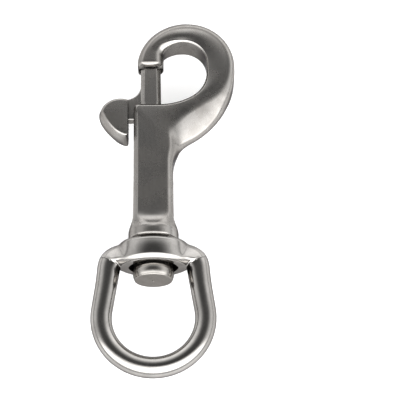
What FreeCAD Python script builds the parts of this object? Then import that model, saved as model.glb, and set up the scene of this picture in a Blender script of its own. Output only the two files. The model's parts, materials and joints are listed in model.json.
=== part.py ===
"""Swivel-eye bolt snap with a thumb trigger, as a parametric FreeCAD document.

The snap lies flat: +X points to the loop side of the hook, +Y runs along the barrel towards the hook
and +Z stands on the flat of the hook. The origin is the bearing point at the bottom of the swivel
eye's hole, on the swivel axis. Sizes are millimetres and degrees.
"""
import FreeCAD, Part
import math
import os
import Sketcher

SIZES = {
    # Swivel eye
    "eye_inner_radius": 12.5,        # round bottom of the eye's hole
    "eye_inner_length": 28.5,        # bearing point to the underside of the bridge
    "eye_rod": 6.5,                  # diameter of the eye's round bar
    "eye_lean": 9.5,                 # degrees that each limb leans in towards the bridge
    "eye_shoulder": 4.2,             # centre-line radius where a limb turns into the bridge
    "bridge_thickness": 7.7,
    "bridge_tip_inset": 1.4,         # limb centre line to the sharp end of the bridge's lens
    "bridge_wall": 2.6,              # beside the recess
    "bridge_round": 1.2,
    "tip_round": 2.0,
    "crown_sink": 0.4,               # round bar below the bridge's flat top
    "recess_depth": 3.0,
    "recess_reach": 1.7,             # head to the sharp end of the recess
    "recess_side": 0.7,              # head to the side of the recess
    # Swivel stud
    "head_face": 12.5,               # diameter of the flat face of the stud's head
    "head_neck": 11.8,               # diameter of the head where it enters the recess
    "head_stand": 4.1,               # how far the head stands below the bridge
    "shank": 7.2,
    "tail": 5.0,                     # diameter of the tail pressed into the barrel's base
    "tail_length": 6.5,
    "head_round": 0.4,
    "centre_mark": 0.9,              # diameter of the lathe centre in the head
    # Clearances of the moving fits
    "swivel_clearance": 0.05,        # radial, shank in bridge
    "swivel_play": 0.2,              # axial, head under the recess floor
    "collar_gap": 0.4,               # bridge to collar
    "guide_clearance": 0.05,         # radial, bolt guide in bore
    "stem_clearance": 0.25,          # each side of the stem in the slot
    "seat_gap": 0.3,                 # bolt end to the nose
    # Barrel and collar
    "casting_depth": 10.6,           # thickness of the hook and barrel along Z
    "barrel_width": 12.1,
    "barrel_length": 44.6,           # collar's foot to the mouth
    "barrel_bevel": 1.6,
    "collar_foot": 14.6,             # diameter of the collar's lower face
    "collar_belly": 15.5,            # its widest diameter
    "collar_belly_height": 2.9,
    "collar_height": 7.1,
    "collar_round": 2.4,             # rounding of the belly
    "foot_round": 0.6,
    "bolt_offset": 0.85,             # bolt axis from the barrel axis, towards the trigger
    "slot_spare": 1.25,              # slot beyond the stem's lowest place
    "spring_space": 8.5,             # bore left under the bolt when it is drawn back
    # Hook
    "gate_opening": 13.7,            # mouth to nose
    "nose_outer": 4.2,               # bolt axis to the outer side of the nose
    "nose_inner": 3.95,              # bolt axis to the inner side of the nose
    "nose_overlap": 0.8,             # nose end above the centre of the head arc
    "head_radius": 15.2,
    "back_straight": 0.9,
    "back_radius": 24.6,
    "root_radius": 11.2,
    "crown_wall": 6.8,
    "side_wall": 8.7,
    "crown_overreach": 1.55,         # how far the crown arc would pass beyond the nose's inner side
    "nose_blend": 2.5,
    "throat_radius": 9.5,
    "floor_start": 2.85,             # bolt axis to where the mouth turns into the loop's floor
    "floor_turn": 29.3,              # degrees that the shallow floor arc turns
    "outer_round": 2.2,
    "inner_bevel": 1.1,
    "nose_round": 0.7,
    "cut_overrun": 0.5,             # bore and slot cut past the mouth by this
    # Bolt, stem and trigger
    "bolt_width": 6.5,               # across the flats at the mouth
    "bolt_tip_width": 6.1,           # across the flats at the end
    "bolt_facet": 3.8,               # width of the front facet
    "bolt_end_bevel": 0.4,
    "guide": 7.6,                    # diameter of the round part that runs in the bore
    "guide_length": 8.0,
    "bolt_foot": 10.7,               # mouth to the bolt's lower end
    "bolt_travel": 14.0,
    "stem_thickness": 3.4,
    "stem_drop": 4.0,                # mouth to the underside of the stem
    "web_rise": 7.7,                 # mouth to where the web leaves the bolt
    "web_curve": 4.8,                # radius of the hollow between bolt and trigger
    "trigger_gap": 1.75,             # barrel side to trigger
    "trigger_reach": 8.8,            # trigger's inner side to its outermost point
    "trigger_top": 1.8,              # mouth to the top of the trigger's inner side
    "trigger_shoulder": 1.9,         # mouth down to the outermost point
    "trigger_drop": 11.1,            # mouth to the trigger's tip
    "trigger_sweep": 15.6,           # radius of the thumb face
    "trigger_crown": 6.95,           # radius of the trigger's top
    "trigger_depth": 9.0,
    "trigger_tip": 1.5,              # width of the tip
    "trigger_round": 1.6,            # rounding along the thumb face
    # Spring
    "spring_wire": 0.8,
    "spring_outer": 7.0,
    "spring_coils": 9.0,
    "spring_gap": 0.05,              # between the spring and each seat
}

DERIVED = {
    "bridge_top": "sheet.eye_inner_length + sheet.bridge_thickness",
    "collar_foot_y": "derived.bridge_top + sheet.collar_gap",
    "mouth_y": "derived.collar_foot_y + sheet.barrel_length",
    "nose_y": "derived.mouth_y + sheet.gate_opening",
    "head_y": "derived.nose_y - sheet.nose_overlap",
    "back_y": "derived.head_y - sheet.back_straight",
    "half_barrel": "sheet.barrel_width / 2",
    "head_x": "sheet.head_radius - sheet.bolt_offset - sheet.nose_outer",
    "right_x": "derived.head_x + sheet.head_radius",
    "nose_left_x": "derived.head_x - sqrt(sheet.head_radius ^ 2 - sheet.nose_overlap ^ 2)",
    "back_x": "derived.right_x - sheet.back_radius",
    "root_x": "derived.half_barrel + sheet.root_radius",
    "root_y": "derived.back_y - sqrt((sheet.back_radius + sheet.root_radius) ^ 2"
              " - (derived.root_x - derived.back_x) ^ 2)",
    "root_share": "sheet.back_radius / (sheet.back_radius + sheet.root_radius)",
    "inner_x": "derived.right_x - sheet.side_wall",
    "nose_inner_x": "sheet.nose_inner - sheet.bolt_offset",
    "crown_radius": "(derived.inner_x - derived.nose_inner_x + sheet.crown_overreach) / 2",
    "crown_x": "derived.inner_x - derived.crown_radius",
    "crown_y": "derived.head_y + sheet.head_radius - sheet.crown_wall - derived.crown_radius",
    "blend_x": "derived.nose_inner_x + sheet.nose_blend",
    "blend_y": "derived.crown_y + sqrt((derived.crown_radius - sheet.nose_blend) ^ 2"
               " - (derived.crown_x - derived.blend_x) ^ 2)",
    "blend_share": "derived.crown_radius / (derived.crown_radius - sheet.nose_blend)",
    "floor_x": "sheet.floor_start - sheet.bolt_offset",
    "throat_x": "derived.inner_x - sheet.throat_radius",
    "floor_radius": "sheet.throat_radius + (derived.throat_x - derived.floor_x) / sin(sheet.floor_turn)",
    "throat_y": "derived.mouth_y + derived.floor_radius"
                " - (derived.floor_radius - sheet.throat_radius) * cos(sheet.floor_turn)",
    "bore_depth": "sheet.bolt_foot + sheet.bolt_travel + sheet.spring_space",
    "bore_y": "derived.mouth_y - derived.bore_depth",
    "slot_y": "derived.mouth_y - sheet.stem_drop - sheet.bolt_travel - sheet.slot_spare",
    "bolt_y": "derived.mouth_y - sheet.bolt_foot",
    "trigger_x": "-derived.half_barrel - sheet.trigger_gap",
    "eye_centre_radius": "sheet.eye_inner_radius + sheet.eye_rod / 2",
    "eye_tangent_x": "derived.eye_centre_radius * cos(sheet.eye_lean)",
    "eye_tangent_y": "sheet.eye_inner_radius + derived.eye_centre_radius * sin(sheet.eye_lean)",
    "crown_line_y": "derived.bridge_top - sheet.crown_sink - sheet.eye_rod / 2",
    "shoulder_y": "derived.crown_line_y - sheet.eye_shoulder + sheet.eye_shoulder * sin(sheet.eye_lean)",
    "shoulder_x": "derived.eye_tangent_x"
                  " - (derived.shoulder_y - derived.eye_tangent_y) * tan(sheet.eye_lean)",
    "crown_end_x": "derived.shoulder_x - sheet.eye_shoulder * cos(sheet.eye_lean)",
    "recess_half_depth": "sheet.head_neck / 2 + sheet.recess_side",
    "recess_half_length": "sheet.head_neck / 2 + sheet.recess_reach",
    "bridge_half_depth": "derived.recess_half_depth + sheet.bridge_wall",
    "bridge_half_length": "derived.shoulder_x - sheet.bridge_tip_inset",
}

ORIGIN = -1
ROOT_POINT = 1
START = 1
END = 2
LEFT = 1
RIGHT = -1
STRAIGHT = 0
TOLERANCE = 1e-4

doc = FreeCAD.newDocument("bolt_snap")
sheet = doc.addObject("Spreadsheet::Sheet", "sheet")
for row, (alias, size) in enumerate(SIZES.items(), start=1):
    sheet.set("A%d" % row, alias)
    sheet.set("B%d" % row, str(size))
    sheet.setAlias("B%d" % row, alias)
doc.recompute()

derived = doc.addObject("App::VarSet", "derived")
for alias, formula in DERIVED.items():
    derived.addProperty("App::PropertyFloat", alias)
    derived.setExpression(alias, formula)
derived.addProperty("App::PropertyFloat", "probe")
doc.recompute()


def measure(formula):
    """Return the number that a formula on the sheet gives."""
    derived.setExpression("probe", formula)
    derived.recompute()
    number = derived.probe
    derived.setExpression("probe", None)
    return number


def new_body(label):
    """Return an empty PartDesign body."""
    body = doc.addObject("PartDesign::Body", label)
    body.Label = label
    return body


def new_sketch(body, name, plane, level="0"):
    """Return a sketch on one of the body's own origin planes, moved along the plane's normal."""
    sketch = body.newObject("Sketcher::SketchObject", name)
    support = [feature for feature in body.Origin.OriginFeatures if feature.Role == plane][0]
    sketch.AttachmentSupport = [(support, "")]
    sketch.MapMode = "FlatFace"
    sketch.setExpression("AttachmentOffset.Base.z", level)
    return sketch


def bind(sketch, kind, entities, formula):
    """Add one dimension to a sketch and bind it to a formula."""
    index = sketch.addConstraint(Sketcher.Constraint(kind, *entities, measure(formula)))
    sketch.setExpression("Constraints[%d]" % index, formula)


def bind_point(sketch, geometry, position, x, y):
    """Bind both coordinates of a sketch point."""
    bind(sketch, "DistanceX", (ORIGIN, ROOT_POINT, geometry, position), x)
    bind(sketch, "DistanceY", (ORIGIN, ROOT_POINT, geometry, position), y)


def arc_between(start, end, radius, side):
    """Return the short arc between two points with its centre on the given side of travel."""
    chord = end - start
    half = chord.Length / 2
    height = math.sqrt(max(radius ** 2 - half ** 2, 0.0))
    across = FreeCAD.Vector(-chord.y, chord.x, 0).normalize()
    centre = start + chord * 0.5 + across * (height * side)
    first, last = (start, end) if side == LEFT else (end, start)
    angles = [math.atan2(point.y - centre.y, point.x - centre.x) for point in (first, last)]
    if angles[1] <= angles[0]:
        angles[1] += 2 * math.pi
    circle = Part.Circle(centre, FreeCAD.Vector(0, 0, 1), radius)
    return Part.ArcOfCircle(circle, angles[0], angles[1])


def draw_chain(sketch, corners, closed=True):
    """Draw lines and arcs from corner to corner, with every corner and radius bound to a formula.

    Each corner is (x, y), or (x, y, side, radius) where an arc leads to the next corner and side says
    on which side of travel its centre lies.
    """
    points = [FreeCAD.Vector(measure(corner[0]), measure(corner[1]), 0) for corner in corners]
    count = len(corners) if closed else len(corners) - 1
    ends = []
    for place in range(count):
        start = points[place]
        end = points[(place + 1) % len(points)]
        side = corners[place][2] if len(corners[place]) > 2 else STRAIGHT
        if side == STRAIGHT:
            ends.append((sketch.addGeometry(Part.LineSegment(start, end)), START, END))
            continue
        radius = corners[place][3]
        edge = sketch.addGeometry(arc_between(start, end, measure(radius), side))
        ends.append((edge, START, END) if side == LEFT else (edge, END, START))
    for place, (edge, first, last) in enumerate(ends):
        if closed or place + 1 < count:
            following = ends[(place + 1) % count]
            sketch.addConstraint(Sketcher.Constraint("Coincident", edge, last, following[0], following[1]))
        bind_point(sketch, edge, first, corners[place][0], corners[place][1])
        if len(corners[place]) > 2:
            bind(sketch, "Radius", (edge,), corners[place][3])
    if not closed:
        bind_point(sketch, ends[-1][0], ends[-1][2], corners[-1][0], corners[-1][1])


def draw_circle(sketch, x, y, radius):
    """Draw one circle with its centre and radius bound to formulas."""
    centre = FreeCAD.Vector(measure(x), measure(y), 0)
    edge = sketch.addGeometry(Part.Circle(centre, FreeCAD.Vector(0, 0, 1), measure(radius)))
    bind(sketch, "Radius", (edge,), radius)
    bind_point(sketch, edge, 3, x, y)


def extrude(body, kind, name, sketch, length, symmetric=False, reverse=False):
    """Add a Pad or Pocket of a bound length and make it the body's tip."""
    feature = body.newObject("PartDesign::" + kind, name)
    feature.Profile = sketch
    feature.setExpression("Length", length)
    if symmetric:
        feature.SideType = "Symmetric"
    feature.Reversed = reverse
    finish_feature(body, feature, kind == "Pocket")


def turn(body, kind, name, sketch):
    """Add a Revolution or Groove of a full turn about the sketch's vertical axis."""
    feature = body.newObject("PartDesign::" + kind, name)
    feature.Profile = sketch
    feature.ReferenceAxis = (sketch, ["V_Axis"])
    feature.Angle = 360
    finish_feature(body, feature, kind == "Groove")


def finish_feature(body, feature, cuts):
    """Recompute, make the feature the tip and check that it added or removed material."""
    before = body.Shape.Volume if not body.Shape.isNull() else 0.0
    body.Tip = feature
    doc.recompute()
    gain = body.Shape.Volume - before
    if cuts != (gain < 0) or abs(gain) < TOLERANCE:
        raise RuntimeError("%s changed the volume by %.3f" % (feature.Name, gain))


def dress(body, kind, name, size, chosen):
    """Round or bevel the edges that the test chooses."""
    base = body.Tip
    names = ["Edge%d" % (place + 1) for place, edge in enumerate(base.Shape.Edges) if chosen(edge)]
    feature = body.newObject("PartDesign::" + kind, name)
    feature.Base = (base, names)
    feature.setExpression("Radius" if kind == "Fillet" else "Size", size)
    finish_feature(body, feature, True)


def middle(edge):
    """Return the point halfway along an edge."""
    return edge.valueAt((edge.FirstParameter + edge.LastParameter) / 2)


def near(number, formula):
    """Say whether a number equals a formula's value."""
    return abs(number - measure(formula)) < TOLERANCE


def on_face_edge(edge, formula):
    """Say whether an edge lies in the plane Z = plus or minus the formula's value."""
    return all(near(abs(vertex.Z), formula) for vertex in edge.Vertexes) and near(abs(middle(edge).z), formula)


def build_hook_body():
    """Cast hook, barrel and collar in one piece."""
    body = new_body("hook_body")
    junction_x = "derived.back_x + (derived.root_x - derived.back_x) * derived.root_share"
    junction_y = "derived.back_y + (derived.root_y - derived.back_y) * derived.root_share"
    blend_top_x = "derived.crown_x + (derived.blend_x - derived.crown_x) * derived.blend_share"
    blend_top_y = "derived.crown_y + (derived.blend_y - derived.crown_y) * derived.blend_share"
    throat_end_x = "derived.throat_x + sheet.throat_radius * sin(sheet.floor_turn)"
    throat_end_y = "derived.throat_y - sheet.throat_radius * cos(sheet.floor_turn)"
    collar_top = "derived.collar_foot_y + sheet.collar_height"
    profile = new_sketch(body, "hook_profile", "XY_Plane")
    draw_chain(profile, [
        ("derived.nose_left_x", "derived.nose_y", RIGHT, "sheet.head_radius"),
        ("derived.head_x", "derived.head_y + sheet.head_radius", RIGHT, "sheet.head_radius"),
        ("derived.right_x", "derived.head_y"),
        ("derived.right_x", "derived.back_y", RIGHT, "sheet.back_radius"),
        (junction_x, junction_y, LEFT, "sheet.root_radius"),
        ("derived.half_barrel", "derived.root_y"),
        ("derived.half_barrel", collar_top),
        ("-derived.half_barrel", collar_top),
        ("-derived.half_barrel", "derived.mouth_y"),
        ("derived.floor_x", "derived.mouth_y", LEFT, "derived.floor_radius"),
        (throat_end_x, throat_end_y, LEFT, "sheet.throat_radius"),
        ("derived.inner_x", "derived.throat_y"),
        ("derived.inner_x", "derived.crown_y", LEFT, "derived.crown_radius"),
        (blend_top_x, blend_top_y, LEFT, "sheet.nose_blend"),
        ("derived.nose_inner_x", "derived.blend_y"),
        ("derived.nose_inner_x", "derived.nose_y"),
    ])
    extrude(body, "Pad", "casting", profile, "sheet.casting_depth", symmetric=True)

    half_depth = "sheet.casting_depth / 2"
    outer_radii = ("sheet.head_radius", "sheet.back_radius", "sheet.root_radius")
    inner_radii = ("derived.crown_radius", "sheet.throat_radius", "derived.floor_radius", "sheet.nose_blend")

    def is_arc(edge, radii):
        return isinstance(edge.Curve, Part.Circle) and any(near(edge.Curve.Radius, size) for size in radii)

    def is_outer(edge):
        return on_face_edge(edge, half_depth) and is_arc(edge, outer_radii)

    def is_inner(edge):
        return on_face_edge(edge, half_depth) and is_arc(edge, inner_radii)

    def is_barrel_corner(edge):
        return on_face_edge(edge, half_depth) and near(middle(edge).x, "-derived.half_barrel")

    def is_nose_end(edge):
        return all(near(vertex.Y, "derived.nose_y") for vertex in edge.Vertexes)

    def is_belly(edge):
        return is_arc(edge, ("sheet.collar_belly / 2",))

    def is_foot(edge):
        return is_arc(edge, ("sheet.collar_foot / 2",))

    dress(body, "Fillet", "outer_round", "sheet.outer_round", is_outer)
    dress(body, "Chamfer", "barrel_bevel", "sheet.barrel_bevel", is_barrel_corner)
    dress(body, "Chamfer", "inner_bevel", "sheet.inner_bevel", is_inner)
    dress(body, "Fillet", "nose_round", "sheet.nose_round", is_nose_end)

    bell = new_sketch(body, "collar_profile", "XY_Plane")
    draw_chain(bell, [
        ("0", "derived.collar_foot_y"),
        ("sheet.collar_foot / 2", "derived.collar_foot_y"),
        ("sheet.collar_belly / 2", "derived.collar_foot_y + sheet.collar_belly_height"),
        ("derived.half_barrel", collar_top),
        ("0", collar_top),
    ])
    turn(body, "Revolution", "collar", bell)
    dress(body, "Fillet", "collar_round", "sheet.collar_round", is_belly)
    dress(body, "Fillet", "foot_round", "sheet.foot_round", is_foot)

    bore = new_sketch(body, "bore_circle", "XZ_Plane", "-derived.bore_y")
    draw_circle(bore, "-sheet.bolt_offset", "0", "sheet.guide / 2 + sheet.guide_clearance")
    extrude(body, "Pocket", "bolt_bore", bore, "derived.bore_depth + sheet.cut_overrun")

    half_slot = "(sheet.stem_thickness / 2 + sheet.stem_clearance)"
    slot = new_sketch(body, "slot_profile", "YZ_Plane", "-sheet.bolt_offset")
    draw_chain(slot, [
        ("derived.mouth_y + sheet.cut_overrun", "-" + half_slot),
        ("derived.mouth_y + sheet.cut_overrun", half_slot),
        ("derived.slot_y + " + half_slot, half_slot, LEFT, half_slot),
        ("derived.slot_y", "0", LEFT, half_slot),
        ("derived.slot_y + " + half_slot, "-" + half_slot),
    ])
    extrude(body, "Pocket", "stem_slot", slot, "sheet.barrel_width")

    socket = new_sketch(body, "socket_circle", "XZ_Plane", "-derived.collar_foot_y")
    draw_circle(socket, "0", "0", "sheet.tail / 2")
    extrude(body, "Pocket", "tail_socket", socket, "sheet.tail_length")
    return body


def build_latch_bolt():
    """Cast bolt with its guide, web, stem and thumb trigger in one piece."""
    body = new_body("latch_bolt")
    axis = "-sheet.bolt_offset"
    guide = new_sketch(body, "guide_circle", "XZ_Plane", "-derived.bolt_y")
    draw_circle(guide, axis, "0", "sheet.guide / 2")
    extrude(body, "Pad", "guide", guide, "sheet.guide_length", reverse=True)

    def octagon(name, level, width):
        sketch = new_sketch(body, name, "XZ_Plane", level)
        half = width + " / 2"
        facet = "sheet.bolt_facet / 2"
        turns = [(half, facet), (facet, half)]
        corners = []
        for sign_x, sign_z, order in ((1, 1, turns), (-1, 1, turns[::-1]), (-1, -1, turns), (1, -1, turns[::-1])):
            for reach_x, reach_z in order:
                corners.append((axis + " + %d * %s" % (sign_x, reach_x), "%d * %s" % (sign_z, reach_z)))
        draw_chain(sketch, corners)
        return sketch

    root = octagon("bolt_root", "-(derived.bolt_y + sheet.guide_length)", "sheet.bolt_width")
    tip = octagon("bolt_tip", "-(derived.nose_y - sheet.seat_gap)", "sheet.bolt_tip_width")
    loft = body.newObject("PartDesign::AdditiveLoft", "bolt_bar")
    loft.Profile = root
    loft.Sections = [tip]
    loft.Ruled = True
    finish_feature(body, loft, False)

    def is_bolt_end(edge):
        return all(near(vertex.Y, "derived.nose_y - sheet.seat_gap") for vertex in edge.Vertexes)

    dress(body, "Chamfer", "bolt_end_bevel", "sheet.bolt_end_bevel", is_bolt_end)

    web = new_sketch(body, "web_profile", "XY_Plane")
    web_left = "(" + axis + " - sheet.bolt_tip_width / 2)"
    stem_y = "derived.mouth_y - sheet.stem_drop"
    web_top = "derived.mouth_y + sheet.web_rise"
    draw_chain(web, [
        (axis, stem_y),
        (axis, web_top),
        (web_left, web_top, RIGHT, "sheet.web_curve"),
        (web_left + " - sheet.web_curve", web_top + " - sheet.web_curve"),
        (web_left + " - sheet.web_curve", stem_y),
    ])
    extrude(body, "Pad", "web", web, "sheet.stem_thickness", symmetric=True)

    fin = new_sketch(body, "trigger_profile", "XY_Plane")
    trigger_top = "derived.mouth_y + sheet.trigger_top"
    tip_y = "derived.mouth_y - sheet.trigger_drop"
    draw_chain(fin, [
        ("derived.trigger_x", tip_y),
        ("derived.trigger_x", trigger_top, LEFT, "sheet.trigger_crown"),
        ("derived.trigger_x - sheet.trigger_reach", "derived.mouth_y - sheet.trigger_shoulder",
         LEFT, "sheet.trigger_sweep"),
        ("derived.trigger_x - sheet.trigger_tip", tip_y),
    ])
    extrude(body, "Pad", "trigger", fin, "sheet.trigger_depth", symmetric=True)

    def is_thumb_edge(edge):
        return (on_face_edge(edge, "sheet.trigger_depth / 2") and isinstance(edge.Curve, Part.Circle)
                and near(edge.Curve.Radius, "sheet.trigger_sweep"))

    dress(body, "Fillet", "thumb_round", "sheet.trigger_round", is_thumb_edge)
    return body


def build_swivel_eye():
    """Round-bar eye with the lens-shaped bridge that turns on the stud."""
    body = new_body("swivel_eye")

    def lens(name, level, half_length, half_depth):
        sketch = new_sketch(body, name, "XZ_Plane", level)
        radius = "((%s) ^ 2 + (%s) ^ 2) / (2 * (%s))" % (half_length, half_depth, half_depth)
        draw_chain(sketch, [
            ("-" + half_length, "0", LEFT, radius),
            ("0", "-" + half_depth, LEFT, radius),
            (half_length, "0", LEFT, radius),
            ("0", half_depth, LEFT, radius),
        ])
        return sketch

    def is_tip(edge):
        return isinstance(edge.Curve, Part.Line) and near(abs(middle(edge).x), "derived.bridge_half_length")

    def is_rim(edge):
        return all(near(vertex.Y, "derived.bridge_top") for vertex in edge.Vertexes) or all(
            near(vertex.Y, "sheet.eye_inner_length") for vertex in edge.Vertexes)

    plan = lens("bridge_plan", "-sheet.eye_inner_length", "derived.bridge_half_length",
                "derived.bridge_half_depth")
    extrude(body, "Pad", "bridge", plan, "sheet.bridge_thickness", reverse=True)
    dress(body, "Fillet", "tip_round", "sheet.tip_round", is_tip)
    dress(body, "Fillet", "bridge_round", "sheet.bridge_round", is_rim)

    path = new_sketch(body, "eye_path", "XY_Plane")
    draw_chain(path, [
        ("0", "-sheet.eye_rod / 2", LEFT, "derived.eye_centre_radius"),
        ("derived.eye_tangent_x", "derived.eye_tangent_y"),
        ("derived.shoulder_x", "derived.shoulder_y", LEFT, "sheet.eye_shoulder"),
        ("derived.crown_end_x", "derived.crown_line_y"),
        ("-derived.crown_end_x", "derived.crown_line_y", LEFT, "sheet.eye_shoulder"),
        ("-derived.shoulder_x", "derived.shoulder_y"),
        ("-derived.eye_tangent_x", "derived.eye_tangent_y", LEFT, "derived.eye_centre_radius"),
    ])
    section = new_sketch(body, "eye_section", "YZ_Plane")
    draw_circle(section, "-sheet.eye_rod / 2", "0", "sheet.eye_rod / 2")
    doc.recompute()
    ring = body.newObject("PartDesign::AdditivePipe", "ring")
    ring.Profile = section
    ring.Spine = path
    finish_feature(body, ring, False)

    recess = lens("recess_plan", "-sheet.eye_inner_length", "derived.recess_half_length",
                  "derived.recess_half_depth")
    extrude(body, "Pocket", "recess", recess, "sheet.recess_depth")
    hole = new_sketch(body, "shank_circle", "XZ_Plane", "-sheet.eye_inner_length")
    draw_circle(hole, "0", "0", "sheet.shank / 2 + sheet.swivel_clearance")
    extrude(body, "Pocket", "shank_hole", hole, "sheet.bridge_thickness + sheet.collar_gap")
    return body


def build_swivel_stud():
    """Headed stud that holds the eye, with its tail pressed into the barrel's base."""
    body = new_body("swivel_stud")
    head_top = "sheet.eye_inner_length + sheet.recess_depth - sheet.swivel_play"
    face_y = "sheet.eye_inner_length - sheet.head_stand"
    profile = new_sketch(body, "stud_profile", "XY_Plane")
    draw_chain(profile, [
        ("0", face_y + " + sheet.centre_mark / 2"),
        ("sheet.centre_mark / 2", face_y),
        ("sheet.head_face / 2", face_y),
        ("sheet.head_neck / 2", "sheet.eye_inner_length"),
        ("sheet.head_neck / 2", head_top),
        ("sheet.shank / 2", head_top),
        ("sheet.shank / 2", "derived.collar_foot_y"),
        ("sheet.tail / 2", "derived.collar_foot_y"),
        ("sheet.tail / 2", "derived.collar_foot_y + sheet.tail_length"),
        ("0", "derived.collar_foot_y + sheet.tail_length"),
    ])
    turn(body, "Revolution", "stud", profile)

    def is_face_rim(edge):
        return isinstance(edge.Curve, Part.Circle) and near(edge.Curve.Radius, "sheet.head_face / 2")

    dress(body, "Fillet", "head_round", "sheet.head_round", is_face_rim)
    return body


def build_bolt_spring():
    """Compression spring in the bore, under the bolt."""
    body = new_body("bolt_spring")
    section = new_sketch(body, "wire_section", "XY_Plane")
    wire = "sheet.spring_wire / 2"
    draw_circle(section, "sheet.spring_outer / 2 - " + wire, wire, wire)
    helix = body.newObject("PartDesign::AdditiveHelix", "coils")
    helix.Profile = section
    helix.ReferenceAxis = (section, ["V_Axis"])
    helix.Mode = "height-turns-angle"
    free_height = "derived.bolt_y - derived.bore_y - 2 * sheet.spring_gap - sheet.spring_wire"
    helix.setExpression("Height", free_height)
    helix.setExpression("Turns", "sheet.spring_coils")
    finish_feature(body, helix, False)
    body.setExpression("Placement.Base.x", "-sheet.bolt_offset")
    body.setExpression("Placement.Base.y", "derived.bore_y + sheet.spring_gap")
    return body


bodies = [
    build_hook_body(),
    build_latch_bolt(),
    build_bolt_spring(),
    build_swivel_eye(),
    build_swivel_stud(),
]
doc.recompute()

failed = [item.Name for item in doc.Objects if "Invalid" in item.State or "Error" in item.State]
failed += [body.Label for body in bodies if body.Shape.isNull() or not body.Shape.isValid()]
if failed:
    raise RuntimeError("not built: " + ", ".join(failed))

os.makedirs("parts", exist_ok=True)
for body in bodies:
    body.Shape.exportStep(os.path.join("parts", body.Label + ".step"))
    print("%-12s volume %8.1f mm3  solids %d" % (body.Label, body.Shape.Volume, len(body.Shape.Solids)))
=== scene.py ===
"""Swivel-eye bolt snap in satin stainless steel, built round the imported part.

Five pieces replace the five CAD nodes: the cast hook with its barrel and collar, the sliding
bolt with its thumb trigger, the spring in the bore, the swivelling eye and the stud that holds it.
Lengths are in millimetres until a piece is finished, and in metres from then on.
"""

import json
import logging
import math
from dataclasses import dataclass
from enum import Enum
from typing import Callable, Sequence

import bmesh
import bpy
import numpy as np
from mathutils import Matrix, Vector


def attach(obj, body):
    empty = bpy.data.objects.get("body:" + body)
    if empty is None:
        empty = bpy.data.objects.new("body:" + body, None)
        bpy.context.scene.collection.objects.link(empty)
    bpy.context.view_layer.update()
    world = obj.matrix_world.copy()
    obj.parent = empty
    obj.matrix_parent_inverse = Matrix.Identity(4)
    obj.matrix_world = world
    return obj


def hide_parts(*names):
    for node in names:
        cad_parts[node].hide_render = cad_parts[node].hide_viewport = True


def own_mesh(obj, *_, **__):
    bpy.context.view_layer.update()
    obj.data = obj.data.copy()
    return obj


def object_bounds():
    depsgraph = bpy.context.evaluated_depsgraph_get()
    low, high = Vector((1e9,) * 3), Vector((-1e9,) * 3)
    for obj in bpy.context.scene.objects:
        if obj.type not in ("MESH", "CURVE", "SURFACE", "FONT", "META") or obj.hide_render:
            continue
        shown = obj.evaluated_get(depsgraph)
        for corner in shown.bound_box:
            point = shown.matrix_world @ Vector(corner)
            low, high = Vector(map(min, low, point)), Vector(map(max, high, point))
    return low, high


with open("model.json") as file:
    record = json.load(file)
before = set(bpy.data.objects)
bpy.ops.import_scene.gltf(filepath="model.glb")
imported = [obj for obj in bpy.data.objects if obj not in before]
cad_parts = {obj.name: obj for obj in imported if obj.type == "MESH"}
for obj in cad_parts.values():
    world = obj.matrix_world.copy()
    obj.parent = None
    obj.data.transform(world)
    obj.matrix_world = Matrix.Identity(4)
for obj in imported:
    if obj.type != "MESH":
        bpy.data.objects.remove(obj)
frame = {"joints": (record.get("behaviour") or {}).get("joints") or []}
CAD_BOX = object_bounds()

LOG = logging.getLogger("bolt_snap")
METRES = 0.001

Point = tuple[float, float]


class Slot(Enum):
    """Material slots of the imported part."""

    SATIN = "satin_casting"
    POLISHED = "polished_casting"
    TURNED = "turned_steel"
    WIRE = "spring_wire"


class Join(Enum):
    """Ways to combine two closed shells."""

    CUT = "DIFFERENCE"
    FUSE = "UNION"


# ---------------------------------------------------------------- node trees


class Signal:
    """A node's output socket that can be used in Python arithmetic."""

    def __init__(self, tree: bpy.types.NodeTree, socket: bpy.types.NodeSocket) -> None:
        """Wraps one output socket of a tree."""
        self.tree = tree
        self.socket = socket

    def maths(self, operation: str, *values: "float | Signal", clamp: bool = False) -> "Signal":
        """Adds a Math node that works on the given values.

        Args:
            operation: The Math node's operation.
            values: Numbers or signals, in the order of the node's inputs.
            clamp: Whether the result stays between 0 and 1.

        Returns:
            The node's result.
        """
        node = self.tree.nodes.new("ShaderNodeMath")
        node.operation = operation
        node.use_clamp = clamp
        for entry, value in zip(node.inputs, values):
            if isinstance(value, Signal):
                self.tree.links.new(value.socket, entry)
            else:
                entry.default_value = value
        return Signal(self.tree, node.outputs[0])

    def __add__(self, other: "float | Signal") -> "Signal":
        """Sum."""
        return self.maths("ADD", self, other)

    __radd__ = __add__

    def __sub__(self, other: "float | Signal") -> "Signal":
        """Difference."""
        return self.maths("SUBTRACT", self, other)

    def __rsub__(self, other: float) -> "Signal":
        """A number minus the signal."""
        return self.maths("SUBTRACT", other, self)

    def __mul__(self, other: "float | Signal") -> "Signal":
        """Product."""
        return self.maths("MULTIPLY", self, other)

    __rmul__ = __mul__

    def __truediv__(self, other: "float | Signal") -> "Signal":
        """Quotient."""
        return self.maths("DIVIDE", self, other)

    def clamped(self) -> "Signal":
        """The signal kept between 0 and 1."""
        return self.maths("ADD", self, 0.0, clamp=True)

    def eased(self, low: float, high: float) -> "Signal":
        """The signal's smooth rise from 0 at low to 1 at high."""
        share = ((self - low) / (high - low)).clamped()
        return share * share * (3.0 - 2.0 * share)


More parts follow.
